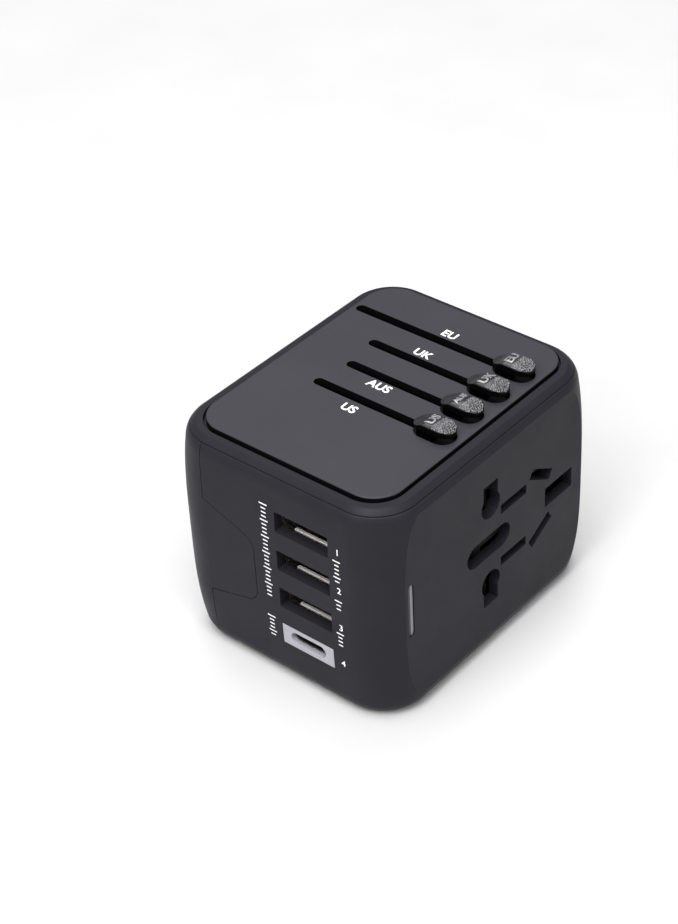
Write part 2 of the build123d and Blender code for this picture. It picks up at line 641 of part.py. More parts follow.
def usb_a_shells():
    """Folded metal shells of the three ports."""
    inner = PORT_SHELL_INNER
    outer = (inner[0] + 2 * PORT_SHELL_WALL, inner[1] + 2 * PORT_SHELL_WALL)
    shells = []
    for z in port_heights():
        shell = along_y(RectangleRounded(*outer, 0.5), PORT_X, *PORT_SHELL_Y, z)
        hollow = RectangleRounded(*inner, 0.25)
        shell -= along_y(hollow, PORT_X, PORT_SHELL_Y[0] - 1, PORT_SHELL_Y[1] - 0.4, z)
        shells.append(shell)
    return shells


def usb_a_tongues():
    """Plastic tongue and back plate inside each port."""
    tongues = []
    for z in port_heights():
        back = PORT_SHELL_Y[1] - 0.4
        tongue = block(PORT_X - 5.55, PORT_X + 5.55, -30.2, back, z + 0.1, z + 1.94)
        inner = PORT_SHELL_INNER
        tongue += block(
            PORT_X - inner[0] / 2 + 0.1, PORT_X + inner[0] / 2 - 0.1,
            back - 1.6, back, z - inner[1] / 2 + 0.1, z + inner[1] / 2 - 0.1,
        )
        tongues.append(tongue)
    return tongues


def usb_a_contacts():
    """Four contact strips under each tongue."""
    strips = []
    for z in port_heights():
        for place in (-3.5, -1.25, 1.25, 3.5):
            x = PORT_X + place
            strips.append(block(x - 0.5, x + 0.5, -29.6, PORT_SHELL_Y[1] - 2.2, z - 0.15, z + 0.1))
    return strips


def usb_c_bezel():
    """Pale bezel round the small port, flush with the housing's bowed side."""
    width, height = TYPE_C_BEZEL
    bezel = along_y(Rectangle(width - 0.1, height - 0.1), PORT_X, -HALF_WIDTH - 1, -29.4, TYPE_C_Z)
    bezel &= barrel(0.0, 0.0, RIM_TOP)
    opening = (TYPE_C_OPENING[0] + 0.3, TYPE_C_OPENING[1] + 0.3)
    bezel -= along_y(stadium(*opening), PORT_X, -HALF_WIDTH - 2, -28, TYPE_C_Z)
    seat = (TYPE_C_OPENING[0] + 0.8, TYPE_C_OPENING[1] + 0.8)
    bezel -= along_y(stadium(*seat), PORT_X, -32.2, -28, TYPE_C_Z)
    return bezel


def usb_c_shell():
    """Seamless metal shell of the small port."""
    outer = (TYPE_C_OPENING[0] + 0.6, TYPE_C_OPENING[1] + 0.6)
    shell = along_y(stadium(*outer), PORT_X, -32.0, -24.4, TYPE_C_Z)
    return shell - along_y(stadium(*TYPE_C_OPENING), PORT_X, -33.0, -24.9, TYPE_C_Z)


def usb_c_tongue():
    """Thin tongue in the middle of the small port."""
    tongue = block(PORT_X - 3.35, PORT_X + 3.35, -31.3, -24.9, TYPE_C_Z - 0.35, TYPE_C_Z + 0.35)
    return tongue + along_y(stadium(8.1, 2.4), PORT_X, -26.0, -24.9, TYPE_C_Z)


def port_board():
    """Upright board behind the ports."""
    return block(4.6, 22.0, -20.6, -19.2, BOARD_Z[1] + 0.1, 43.0)


def main_board():
    """Board on the housing's floor."""
    outline = Pos(3.5, 0, BOARD_Z[0]) * RectangleRounded(36.0, 56.0, 5.0)
    return extrude(outline, BOARD_Z[1] - BOARD_Z[0])


def transformer():
    """Core and winding of the charger's transformer."""
    core = block(6.0, 18.0, -18.0, -9.4, BOARD_Z[1], 16.0)
    core -= block(5.0, 19.0, -15.8, -11.6, BOARD_Z[1] + 2.0, 14.2)
    return core


def transformer_winding():
    """Taped winding inside the core."""
    return block(7.4, 16.6, -15.6, -11.8, BOARD_Z[1] + 2.2, 14.0)


def capacitors():
    """Two electrolytic capacitors against the port board."""
    big = Pos(9.2, -14.9, 24.5) * Cylinder(4.2, 12.0)
    small = Pos(16.4, -16.3, 23.5) * Cylinder(2.8, 10.0)
    return [fillet(can.edges().group_by(Axis.Z)[-1], 0.5) for can in (big, small)]


def controller_chip():
    """Charge controller on the port board, with its legs."""
    chip = block(8.0, 14.0, -19.2, -17.8, 34.0, 39.0)
    legs = [block(8.4 + 1.25 * n, 8.9 + 1.25 * n, -19.2, -18.9, 33.2, 39.8) for n in range(5)]
    return chip + legs


def fuse():
    """Ceramic cartridge fuse with metal end caps."""
    x, y, z = FUSE_MIDDLE
    body = rod_x(2.5, x - 8.0, x + 8.0, y, z)
    caps = [rod_x(2.7, x - 10.0, x - 5.0, y, z), rod_x(2.7, x + 5.0, x + 10.0, y, z)]
    return body + caps


def fuse_clips():
    """Two spring clips that hold the fuse above the board."""
    clips = []
    middle, y, z = FUSE_MIDDLE
    for x in (middle - 7.5, middle + 7.5):
        clip = block(x - 1.8, x + 1.8, y - 3.2, y + 3.2, BOARD_Z[1], z + 1.4)
        clip -= block(x - 2, x + 2, y - 2.8, y + 2.8, z, z + 3)
        clip -= rod_x(2.75, x - 2, x + 2, y, z)
        clips.append(clip)
    return clips


def parts():
    """Every node of the adapter, by name."""
    nodes = {
        "main_housing": main_housing(),
        "plug_end_cap": plug_end_cap(),
        "cap_screws": cap_screws(),
        "top_frame": top_frame(),
        "top_plate": top_plate(),
        "safety_shutter": safety_shutter(),
        "shutter_spring": shutter_spring(),
        "contact_block": contact_block(),
        "live_contact": line_contact(1),
        "neutral_contact": line_contact(-1),
        "earth_contact": earth_contact(),
        "light_pipe": light_pipe(),
        "indicator_led": indicator_led(),
        "usb_a_shells": usb_a_shells(),
        "usb_a_tongues": usb_a_tongues(),
        "usb_a_contacts": usb_a_contacts(),
        "usb_c_bezel": usb_c_bezel(),
        "usb_c_shell": usb_c_shell(),
        "usb_c_tongue": usb_c_tongue(),
        "port_board": port_board(),
        "main_board": main_board(),
        "transformer_core": transformer(),
        "transformer_winding": transformer_winding(),
        "capacitors": capacitors(),
        "controller_chip": controller_chip(),
        "fuse": fuse(),
        "fuse_clips": fuse_clips(),
        "uk_earth_pin": uk_earth_pin(),
    }
    for name in LANE_Y:
        nodes[name + "_carriage"] = carriage(name)
        nodes[name + "_cover"] = button_cover(name)
        nodes[name + "_button"] = slider_button(name)
        nodes[name + "_spring"] = press_spring(name)
        nodes[name + "_pins"] = pin_set(name)
    return nodes


def main():
    os.makedirs("parts", exist_ok=True)
    for name, shape in parts().items():
        if isinstance(shape, list):
            shape = Compound(children=shape)
        export_step(shape, "parts/" + name + ".step")


main()
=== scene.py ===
import json
import math
import random

import bmesh
import bpy
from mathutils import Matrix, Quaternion, Vector
from mathutils.bvhtree import BVHTree


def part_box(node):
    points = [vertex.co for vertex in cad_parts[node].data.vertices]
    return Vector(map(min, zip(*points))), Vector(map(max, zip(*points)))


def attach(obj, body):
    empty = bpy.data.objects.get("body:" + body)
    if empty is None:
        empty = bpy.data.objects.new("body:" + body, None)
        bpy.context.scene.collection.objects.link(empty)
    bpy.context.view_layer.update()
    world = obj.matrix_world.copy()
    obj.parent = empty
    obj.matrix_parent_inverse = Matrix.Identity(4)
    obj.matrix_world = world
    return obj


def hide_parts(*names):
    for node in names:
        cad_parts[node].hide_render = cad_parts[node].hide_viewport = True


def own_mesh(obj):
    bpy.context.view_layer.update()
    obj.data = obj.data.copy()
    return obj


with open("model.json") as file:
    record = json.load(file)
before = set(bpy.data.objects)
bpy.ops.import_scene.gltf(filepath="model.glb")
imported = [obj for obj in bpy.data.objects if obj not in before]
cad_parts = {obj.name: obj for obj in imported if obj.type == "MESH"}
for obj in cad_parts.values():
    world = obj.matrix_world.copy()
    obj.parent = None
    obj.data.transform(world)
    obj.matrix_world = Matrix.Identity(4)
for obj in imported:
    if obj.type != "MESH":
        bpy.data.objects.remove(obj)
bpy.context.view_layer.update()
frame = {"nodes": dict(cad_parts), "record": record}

# Looks of the universal travel adapter. Metres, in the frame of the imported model:
# the sliders run along X, the ports are on the -Y side and the socket face is at +X.

MM = 0.001
LANES = ("us", "aus", "uk", "eu")
HOUSING = "housing"
X_AXIS = Vector((1, 0, 0))
Y_AXIS = Vector((0, 1, 0))
Z_AXIS = Vector((0, 0, 1))

# The stretch of a noise value that a colour or roughness range is spread over
NOISE_LOW = 0.3
NOISE_HIGH = 0.7

# Camera, in the frame: where it stands (metres), where it looks (degrees), and its lens
CAMERA_PLACE = (0.212447, -0.251877, 0.281899)
CAMERA_AZIMUTH = 39.94
CAMERA_ELEVATION = 38.05
CAMERA_ROLL = -2.11
CAMERA_LENS = 82.35
CAMERA_SHIFT = (-0.0598, 0.0378)
CAMERA_SENSOR = 36
CAMERA_CLIP_START = 0.01


# ---------------------------------------------------------------- node helpers

class Paint:
    """One procedural material, with short calls for the nodes that it is made of."""

    def __init__(self, name, rough=0.5, metal=0.0, specular=0.5):
        self.material = bpy.data.materials.new(name)
        self.material.use_nodes = True
        self.nodes = self.material.node_tree.nodes
        self.links = self.material.node_tree.links
        self.shader = self.nodes["Principled BSDF"]
        self.set("Roughness", rough)
        self.set("Metallic", metal)
        self.set("Specular IOR Level", specular)
        self.place = self.nodes.new("ShaderNodeTexCoord").outputs["Object"]

    def set(self, socket, value):
        self.shader.inputs[socket].default_value = value

    def stretched(self, scale):
        """Object coordinates stretched by a factor for each axis."""
        node = self.nodes.new("ShaderNodeMapping")
        node.inputs["Scale"].default_value = scale
        self.links.new(self.place, node.inputs["Vector"])
        return node.outputs["Vector"]

    def noise(self, size, detail=2.0, place=None):
        """Noise whose features are about size metres across."""
        node = self.nodes.new("ShaderNodeTexNoise")
        node.inputs["Scale"].default_value = 1.0 / size
        node.inputs["Detail"].default_value = detail
        self.links.new(place or self.place, node.inputs["Vector"])
        return node.outputs["Fac"]

    def cells(self, size):
        """Rounded cells about size metres across."""
        node = self.nodes.new("ShaderNodeTexVoronoi")
        node.inputs["Scale"].default_value = 1.0 / size
        self.links.new(self.place, node.inputs["Vector"])
        return node.outputs["Distance"]

    def ramp(self, value, low, high, first, second):
        """Turns a value between low and high into a blend from the first colour to the second."""
        node = self.nodes.new("ShaderNodeValToRGB")
        node.color_ramp.elements[0].position = low
        node.color_ramp.elements[0].color = (*first, 1)
        node.color_ramp.elements[1].position = high
        node.color_ramp.elements[1].color = (*second, 1)
        self.links.new(value, node.inputs["Fac"])
        return node.outputs["Color"]

    def span(self, value, low, high):
        """Maps the middle stretch of a noise value to low to high."""
        node = self.nodes.new("ShaderNodeMapRange")
        node.inputs["From Min"].default_value = NOISE_LOW
        node.inputs["From Max"].default_value = NOISE_HIGH
        node.inputs["To Min"].default_value = low
        node.inputs["To Max"].default_value = high
        self.links.new(value, node.inputs["Value"])
        return node.outputs["Result"]

    def colour(self, value, first, second, low=NOISE_LOW, high=NOISE_HIGH):
        """Colours the surface from first to second as the value goes from low to high."""
        self.links.new(self.ramp(value, low, high, first, second), self.shader.inputs["Base Color"])

    def roughness(self, value, low, high):
        """Lets a noise value vary the roughness between low and high."""
        self.links.new(self.span(value, low, high), self.shader.inputs["Roughness"])

    def upwards(self):
        """1 on faces that look up, 0 on walls and faces that look down."""
        return self.geometry_share("Normal", "Z", 0.25, 0.75)

    def geometry_share(self, output, axis, low, high):
        """0 to 1 as one axis of a geometry output goes from low to high."""
        geometry = self.nodes.new("ShaderNodeNewGeometry")
        split = self.nodes.new("ShaderNodeSeparateXYZ")
        self.links.new(geometry.outputs[output], split.inputs["Vector"])
        node = self.nodes.new("ShaderNodeMapRange")
        node.inputs["From Min"].default_value = low
        node.inputs["From Max"].default_value = high
        self.links.new(split.outputs[axis], node.inputs["Value"])
        return node.outputs["Result"]

    def darken_walls(self, wall_shade_colour, wall_specular, specular):
        """Painted shade: only the upward faces keep the colour and gloss; the walls get a near-black
        matt colour in place of the shade that falls on them.
        """
        upwards = self.upwards()
        mix = self.nodes.new("ShaderNodeMix")
        mix.data_type = "RGBA"
        mix.inputs["A"].default_value = (*wall_shade_colour, 1)
        self.links.new(upwards, mix.inputs["Factor"])
        base = self.shader.inputs["Base Color"]
        self.links.new(base.links[0].from_socket, mix.inputs["B"])
        self.links.new(mix.outputs["Result"], base)
        gloss = self.nodes.new("ShaderNodeMapRange")
        gloss.inputs["To Min"].default_value = wall_specular
        gloss.inputs["To Max"].default_value = specular
        self.links.new(upwards, gloss.inputs["Value"])
        self.links.new(gloss.outputs["Result"], self.shader.inputs["Specular IOR Level"])

    def bump(self, value, depth, strength=1.0):
        """Adds relief of about depth metres on top of any that is there already."""
        node = self.nodes.new("ShaderNodeBump")
        node.inputs["Distance"].default_value = depth
        node.inputs["Strength"].default_value = strength
        self.links.new(value, node.inputs["Height"])
        socket = self.shader.inputs["Normal"]
        if socket.is_linked:
            self.links.new(socket.links[0].from_socket, node.inputs["Normal"])
        self.links.new(node.outputs["Normal"], socket)


# ------------------------------------------------------------------- materials

def housing_plastic():
    """Charcoal satin moulding: fine spark-eroded grain and slow changes of sheen."""
    paint = Paint("housing_plastic", specular=0.1)
    paint.colour(paint.noise(14 * MM, 3), (0.0145, 0.0138, 0.0180), (0.0165, 0.0158, 0.0205))
    paint.roughness(paint.noise(6 * MM, 4), 0.42, 0.50)
    paint.bump(paint.noise(0.25 * MM, 2), 0.006 * MM)
    return paint.material


def plate_plastic():
    """Satin grey-black plate with a finer grain than the housing. Its colour is painted light: it is
    the housing's plastic, made about twice as light because the top catches more lamp light.
    """
    paint = Paint("plate_plastic")
    # Painted light: about twice the housing's colour, in place of the stronger light on the top
    paint.colour(paint.noise(18 * MM, 3), (0.0310, 0.0298, 0.0360), (0.0345, 0.0333, 0.0400))
    paint.roughness(paint.noise(7 * MM, 4), 0.42, 0.50)
    paint.bump(paint.noise(0.2 * MM, 2), 0.004 * MM)
    # Painted shade: the plate's side walls, down in the groove round it, are painted near black and
    # matt
    paint.darken_walls((0.003, 0.003, 0.0035), 0.05, 0.16)
    return paint.material


def knob_plastic():
    """Glossy black of the slider knobs, with faint polishing marks, and painted shade on their side
    walls.
    """
    paint = Paint("knob_plastic")
    paint.colour(paint.noise(1.5 * MM, 3), (0.010, 0.010, 0.012), (0.018, 0.018, 0.021))
    paint.roughness(paint.noise(0.6 * MM, 4), 0.22, 0.32)
    paint.bump(paint.noise(0.35 * MM, 3), 0.004 * MM)
    # Painted shade: the side walls under the knob's overhanging crown are painted near black and matt
    paint.darken_walls((0.0015, 0.0015, 0.0018), 0.04, 0.5)
    return paint.material


def grip_plastic():
    """Light grey painted on the tops of the raised letters and grip bumps, a painted highlight in
    place of the glints on the black knob.
    """
    paint = Paint("grip_plastic", specular=0.9)
    # Painted highlight: light grey, far lighter than the black knob the letters and bumps belong to
    paint.colour(paint.noise(0.7 * MM, 3), (0.10, 0.10, 0.105), (0.26, 0.26, 0.27))
    paint.roughness(paint.noise(0.4 * MM, 3), 0.16, 0.30)
    paint.bump(paint.noise(0.3 * MM, 2), 0.003 * MM)
    return paint.material


def bright_lip():
    """Near-white, mostly matt strip for the folded lips in the port mouths: partly the lips' bare
    metal, partly a painted highlight for the lit metal at the front of each port floor.
    """
    paint = Paint("bright_lip", metal=0.3, specular=0.8)
    # Painted highlight: near-white colour on a mostly matt surface, in place of a glint on the metal
    paint.colour(paint.noise(1.2 * MM, 3), (0.78, 0.76, 0.76), (0.90, 0.88, 0.88))
    paint.roughness(paint.noise(0.4 * MM, 3), 0.25, 0.4)
    paint.bump(paint.noise(0.3 * MM, 2), 0.003 * MM)
    return paint.material


def black_plastic():
    """Matt black of the carriages and covers under the slots."""
    paint = Paint("black_plastic", rough=0.65, specular=0.12)
    paint.colour(paint.noise(5 * MM, 3), (0.0022, 0.0022, 0.0025), (0.004, 0.004, 0.0045))
    paint.bump(paint.noise(0.3 * MM, 2), 0.01 * MM)
    return paint.material


def inner_plastic():
    """Glass-filled insulating moulding, with short fibres showing."""
    paint = Paint("inner_plastic", rough=0.55, specular=0.4)
    fibres = paint.noise(0.5 * MM, 2, paint.stretched((1.0, 0.2, 1.0)))
    paint.colour(fibres, (0.020, 0.020, 0.022), (0.034, 0.034, 0.036))
    paint.bump(fibres, 0.01 * MM)
    return paint.material


def bezel_plastic():
    """Pale moulding of the small port."""
    paint = Paint("bezel_plastic", rough=0.35, specular=0.5)
    paint.colour(paint.noise(3 * MM, 3), (0.34, 0.335, 0.38), (0.37, 0.365, 0.41))
    paint.roughness(paint.noise(1 * MM, 3), 0.3, 0.42)
    paint.bump(paint.noise(0.2 * MM, 2), 0.005 * MM)
    return paint.material


def light_pipe():
    """Rod of the indicator: black on the -Y side of its middle and pale grey on the +Y side."""
    paint = Paint("light_pipe", specular=0.4)
    low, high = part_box("light_pipe")
    across = paint.geometry_share("Position", "Y", low.y, high.y)
    paint.colour(across, (0.008, 0.008, 0.010), (0.24, 0.24, 0.25), 0.48, 0.58)
    paint.roughness(paint.noise(0.4 * MM, 3), 0.25, 0.4)
    return paint.material


def plated(name, first, second, rough, grain):
    """Bare or plated metal with marks drawn out along one direction."""
    paint = Paint(name, metal=1.0)
    marks = paint.noise(0.35 * MM, 3, paint.stretched(grain))
    paint.colour(paint.noise(2.5 * MM, 3), first, second)
    paint.roughness(marks, rough * 0.92, rough * 1.10)
    paint.bump(marks, 0.0006 * MM)
    return paint.material


def nickel():
    return plated("nickel", (0.66, 0.63, 0.60), (0.76, 0.73, 0.70), 0.26, (0.1, 1.0, 1.0))


def steel():
    return plated("steel", (0.48, 0.48, 0.50), (0.60, 0.60, 0.61), 0.32, (1.0, 0.2, 1.0))


def brass():
    return plated("brass", (0.60, 0.42, 0.20), (0.74, 0.54, 0.28), 0.30, (1.0, 0.1, 1.0))


def can():
    return plated("can", (0.62, 0.62, 0.64), (0.72, 0.72, 0.74), 0.35, (1.0, 1.0, 0.15))


def board():
    """Green solder mask with the copper tracks showing through as lighter lines."""
    paint = Paint("board", rough=0.35, specular=0.5)
    tracks = paint.cells(2.2 * MM)
    paint.colour(tracks, (0.012, 0.10, 0.035), (0.02, 0.17, 0.06), 0.42, 0.5)
    paint.bump(tracks, 0.02 * MM, 0.4)
    return paint.material


def ferrite():
    """Sintered ferrite core."""
    paint = Paint("ferrite", rough=0.7, specular=0.4)
    paint.colour(paint.noise(0.8 * MM, 4), (0.03, 0.03, 0.032), (0.07, 0.07, 0.07))
    paint.bump(paint.noise(0.25 * MM, 3), 0.03 * MM)
    return paint.material


def tape():
    """Polyester tape wound in layers round the transformer."""
    paint = Paint("tape", rough=0.3, specular=0.5)
    layers = paint.noise(0.8 * MM, 2, paint.stretched((0.1, 0.1, 1.0)))
    paint.colour(layers, (0.55, 0.38, 0.05), (0.72, 0.54, 0.10))
    paint.bump(layers, 0.03 * MM)
    return paint.material


def ceramic():
    """Unglazed ceramic tube."""
    paint = Paint("ceramic", rough=0.5, specular=0.5)
    paint.colour(paint.noise(1.2 * MM, 4), (0.72, 0.70, 0.65), (0.82, 0.81, 0.77))
    paint.bump(paint.noise(0.3 * MM, 3), 0.01 * MM)
    return paint.material


def print_white():
    """White pad print, thin at places."""
    paint = Paint("print_white", rough=0.45, specular=0.4)
    paint.colour(paint.noise(0.5 * MM, 3), (0.80, 0.80, 0.81), (0.90, 0.90, 0.91))
    paint.bump(paint.noise(0.15 * MM, 2), 0.004 * MM)
    return paint.material


def floor_paint():
    """Plain pale surface with a barely visible tooth."""
    paint = Paint("floor_paint", rough=0.8, specular=0.2)
    paint.colour(paint.noise(30 * MM, 4), (0.53, 0.53, 0.53), (0.55, 0.55, 0.55))
    paint.bump(paint.noise(0.6 * MM, 2), 0.01 * MM)
    return paint.material


SLOT_MATERIALS = {
    "housing_plastic": housing_plastic,
    "plate_plastic": plate_plastic,
    "knob_plastic": knob_plastic,
    "black_plastic": black_plastic,
    "inner_plastic": inner_plastic,
    "bezel_plastic": bezel_plastic,
    "light_pipe": light_pipe,
    "nickel": nickel,
    "steel": steel,
    "brass": brass,
    "board": board,
    "ferrite": ferrite,
    "tape": tape,
    "can": can,
    "ceramic": ceramic,
}


def finish_cad_nodes():
    """Gives every CAD node the material of its slot in the record."""
    made = {slot: make() for slot, make in SLOT_MATERIALS.items()}
    for part in frame["record"]["subparts"]:
        node = frame["nodes"][part["node"]]
        node.data.materials.clear()
        node.data.materials.append(made[part["material_slot"]])
    return made


KNOB_VOXEL = 0.08 * MM
KNOB_SMOOTH_FACTOR = 0.5
KNOB_SMOOTH_STEPS = 14


def round_off_knobs():
    """Softens every edge of the slider buttons, as on a moulded and polished part."""
    for name in LANES:
        node = frame["nodes"][name + "_button"]
        even = node.modifiers.new("even", "REMESH")
        even.mode = "VOXEL"
        even.voxel_size = KNOB_VOXEL
        even.use_smooth_shade = True
        soft = node.modifiers.new("soft", "SMOOTH")
        soft.factor = KNOB_SMOOTH_FACTOR
        soft.iterations = KNOB_SMOOTH_STEPS


# -------------------------------------------------------------------- geometry

RAY_START = 20 * MM
WELD_DISTANCE = 1e-7


def surface_of(node):
    """Ray-cast tree of a CAD node's mesh."""
    mesh = frame["nodes"][node].data
    corners = [v.co for v in mesh.vertices]
    faces = [tuple(p.vertices) for p in mesh.polygons]
    return BVHTree.FromPolygons(corners, faces)


def add_piece(name, mesh, material, body):
    """Links a new mesh to the scene and lets it ride on a CAD body."""
    piece = bpy.data.objects.new(name, mesh)
    bpy.context.scene.collection.objects.link(piece)
    mesh.materials.append(material)
    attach(piece, body)
    return piece


def letter_mesh(text, size, weight):
    """Flat letters about the origin, one unit thick: z is 0 at the back and 1 at the front."""
    curve = bpy.data.curves.new("letters", "FONT")
    curve.body = text
    curve.size = size
    curve.offset = weight
    curve.extrude = 0.5
    curve.align_x = "CENTER"
    curve.align_y = "CENTER"
    holder = bpy.data.objects.new("letters", curve)
    mesh = bpy.data.meshes.new_from_object(holder)
    bpy.data.objects.remove(holder)
    low = min(v.co.z for v in mesh.vertices)
    high = max(v.co.z for v in mesh.vertices)
    for vertex in mesh.vertices:
        vertex.co.z = (vertex.co.z - low) / (high - low)
    return mesh


def slice_mesh(mesh, step):
    """Cuts a flat mesh on a square grid, so that it can follow a curved surface."""
    work = bmesh.new()
    work.from_mesh(mesh)
    bmesh.ops.remove_doubles(work, verts=work.verts, dist=WELD_DISTANCE)
    for axis in (X_AXIS, Y_AXIS):
        reach = max(abs(v.co.dot(axis)) for v in work.verts)
        count = int(reach / step)
        for number in range(-count, count + 1):
            geometry = work.verts[:] + work.edges[:] + work.faces[:]
            place = axis * number * step
            bmesh.ops.bisect_plane(work, geom=geometry, plane_co=place, plane_no=axis)
    bmesh.ops.triangulate(work, faces=work.faces)
    work.to_mesh(mesh)
    work.free()


def lay_on(mesh, surface, centre, right, up, sink, height):
    """Lays a flat mesh on a surface: its back goes sink below it, and its front height above."""
    out = right.cross(up)
    for vertex in mesh.vertices:
        flat = centre + right * vertex.co.x + up * vertex.co.y
        hit = surface.ray_cast(flat + out * RAY_START, -out)[0]
        if hit is None:
            hit = flat
        lift = height if vertex.co.z > 0.5 else -sink
        vertex.co = hit + out * lift
    mesh.update()


def join_rings(work, back, front):
    """Faces between two rings that have the same number of corners."""
    for corner in range(len(back)):
        after = (corner + 1) % len(back)
        work.faces.new((back[corner], back[after], front[after], front[corner]))


def move_mesh(mesh, step):
    """Moves every vertex of a mesh by the same step."""
    for vertex in mesh.vertices:
        vertex.co += step


def finish_mesh(work, name):
    """Turns the finished working mesh into a mesh of the given name."""
    mesh = bpy.data.meshes.new(name)
    work.to_mesh(mesh)
    work.free()
    return mesh


# ---------------------------------------------------------------------- pieces

# How far printed marks go into the surface and stand above it
PRINT_SINK = 0.01 * MM
PRINT_HEIGHT = 0.02 * MM

# Words on the top plate: the text, and the Y and X of its middle in millimetres
WORD_SIZE = 2.9 * MM
WORD_WEIGHT = 0.06 * MM
PLATE_WORDS = {
    "eu": ("EU", 21.5, -0.75),
    "uk": ("UK", 13.15, -1.0),
    "aus": ("AUS", -0.4, -0.9),
    "us": ("US", -9.3, -1.0),
}


def plate_words(material):
    """Region codes printed on the top plate beside the slots."""
    surface = surface_of("top_plate")
    for name, (text, y, x) in PLATE_WORDS.items():
        mesh = letter_mesh(text, WORD_SIZE, WORD_WEIGHT)
        centre = Vector((x * MM, y * MM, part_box("top_plate")[1].z))
        lay_on(mesh, surface, centre, X_AXIS, Y_AXIS, PRINT_SINK, PRINT_HEIGHT)
        add_piece(name + "_word", mesh, material, HOUSING)


# Raised letters on the knobs: size in millimetres by the length of the word, and place
KNOB_LETTER_SIZES = {2: 2.7, 3: 1.85}
KNOB_LETTER_WEIGHT = 0.025 * MM
KNOB_LETTER_PLACE = 4.1 * MM
KNOB_LETTER_SINK = 0.1 * MM
KNOB_LETTER_HEIGHT = 0.26 * MM
KNOB_LETTER_GRID = 0.3 * MM


def knob_letters(material):
    """Raised region codes across the knobs."""
    for name in LANES:
        low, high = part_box(name + "_button")
        size = KNOB_LETTER_SIZES[len(name)] * MM
        mesh = letter_mesh(name.upper(), size, KNOB_LETTER_WEIGHT)
        slice_mesh(mesh, KNOB_LETTER_GRID)
        centre = Vector((low.x + KNOB_LETTER_PLACE, (low.y + high.y) / 2, high.z))
        surface = surface_of(name + "_button")
        lay_on(mesh, surface, centre, Y_AXIS, -X_AXIS, KNOB_LETTER_SINK, KNOB_LETTER_HEIGHT)
        add_piece(name + "_knob_letters", mesh, material, name + "_knob")


# Heights of the middles of the large ports and of the small one, from the top down, in millimetres
LARGE_PORT_LEVELS = (39.5, 30.45, 21.4)
SMALL_PORT_LEVEL = 12.44
PORT_NUMBER_X = 15.6
PORT_NUMBER_SIZE = 2.0 * MM
PORT_NUMBER_WEIGHT = 0.02 * MM

# Tick columns beside the ports, in millimetres: X of the middle, Z of the top and bottom, and width
TICK_PITCH = 0.95 * MM
TICK_STROKE = 0.26 * MM
TICKS_PER_LONG_ONE = 4
LONG_TICK_SHARE = 0.5
SHORT_TICK_SHARE = 0.3
TICK_COLUMNS = (
    (-2.1, 42.6, 19.6, 1.9),
    (15.3, 37.5, 31.5, 1.7),
    (15.3, 28.0, 24.5, 1.7),
    (15.3, 20.0, 16.0, 1.7),
    (-2.1, 15.4, 9.4, 1.9),
)


def lay_on_port_face(name, mesh, x, z, material):
    """Prints a flat mesh on the -Y face, about a point given in millimetres."""
    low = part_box("main_housing")[0]
    centre = Vector((x * MM, low.y, z * MM))
    lay_on(mesh, surface_of("main_housing"), centre, X_AXIS, Z_AXIS, PRINT_SINK, PRINT_HEIGHT)
    add_piece(name, mesh, material, HOUSING)


def tick_mesh(length, width):
    """A column of evenly spaced dashes, like a printed scale, about the origin, one unit thick."""
    work = bmesh.new()
    for number in range(int(length / TICK_PITCH)):
        top = length / 2 - number * TICK_PITCH
        bottom = top - TICK_STROKE
        is_long = number % TICKS_PER_LONG_ONE == 0
        reach = width * (LONG_TICK_SHARE if is_long else SHORT_TICK_SHARE)
        corners = ((-reach, top), (reach, top), (reach, bottom), (-reach, bottom))
        back = [work.verts.new((x, y, 0.0)) for x, y in corners]
        front = [work.verts.new((x, y, 1.0)) for x, y in corners]
        work.faces.new(back)
        work.faces.new(front[::-1])
        join_rings(work, back, front)
    bmesh.ops.recalc_face_normals(work, faces=work.faces)
    return finish_mesh(work, "ticks")


def port_marks(material):
    """Port numbers and plain scale ticks on the port face."""
    for number, z in enumerate((*LARGE_PORT_LEVELS, SMALL_PORT_LEVEL), 1):
        mesh = letter_mesh(str(number), PORT_NUMBER_SIZE, PORT_NUMBER_WEIGHT)
        lay_on_port_face(f"port_number_{number}", mesh, PORT_NUMBER_X, z, material)
    for index, (x, top, bottom, width) in enumerate(TICK_COLUMNS):
        mesh = tick_mesh((top - bottom) * MM, width * MM)
        lay_on_port_face(f"port_ticks_{index}", mesh, x, (top + bottom) / 2, material)


# The lip in each large port: its size, and its place from the middle of the port's mouth
LIP_LENGTH = 9.8 * MM
LIP_DEPTH = 0.7 * MM
LIP_HEIGHT = 0.22 * MM
LIP_ROUNDING = 0.4
LIP_SIDE_STEP = 1.1 * MM
LIP_SET_BACK = 0.75 * MM
LIP_RISE = 0.13 * MM
PORT_HALF_HEIGHT = 2.3 * MM


def lip_mesh(length, depth, height):
    """Rounded metal lip along X, about the origin."""
    work = bmesh.new()
    bmesh.ops.create_cube(work, size=1.0)
    bmesh.ops.scale(work, vec=(length, depth, height), verts=work.verts)
    long_edges = [e for e in work.edges if abs(e.verts[0].co.x - e.verts[1].co.x) > length / 2]
    offset = height * LIP_ROUNDING
    bmesh.ops.bevel(work, geom=long_edges, offset=offset, segments=3, affect="EDGES")
    return finish_mesh(work, "lip")


def port_lips(material):
    """Folded lip along the floor of each large port, in the near-white colour of a painted highlight.
    """
    low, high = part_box("usb_a_shells")
    middle = (low.x + high.x) / 2
    for number, level in enumerate(LARGE_PORT_LEVELS, 1):
        floor_z = level * MM - PORT_HALF_HEIGHT
        lip = lip_mesh(LIP_LENGTH, LIP_DEPTH, LIP_HEIGHT)
        move_mesh(lip, Vector((middle + LIP_SIDE_STEP, low.y + LIP_SET_BACK, floor_z + LIP_RISE)))
        add_piece(f"port_lip_{number}", lip, material, HOUSING)


# Springs under the buttons
COIL_RADIUS = 1.3 * MM
COIL_WIRE_RADIUS = 0.13 * MM
COIL_TURNS = 2.5
COIL_STEPS_PER_TURN = 24
COIL_WIRE_CORNERS = 8


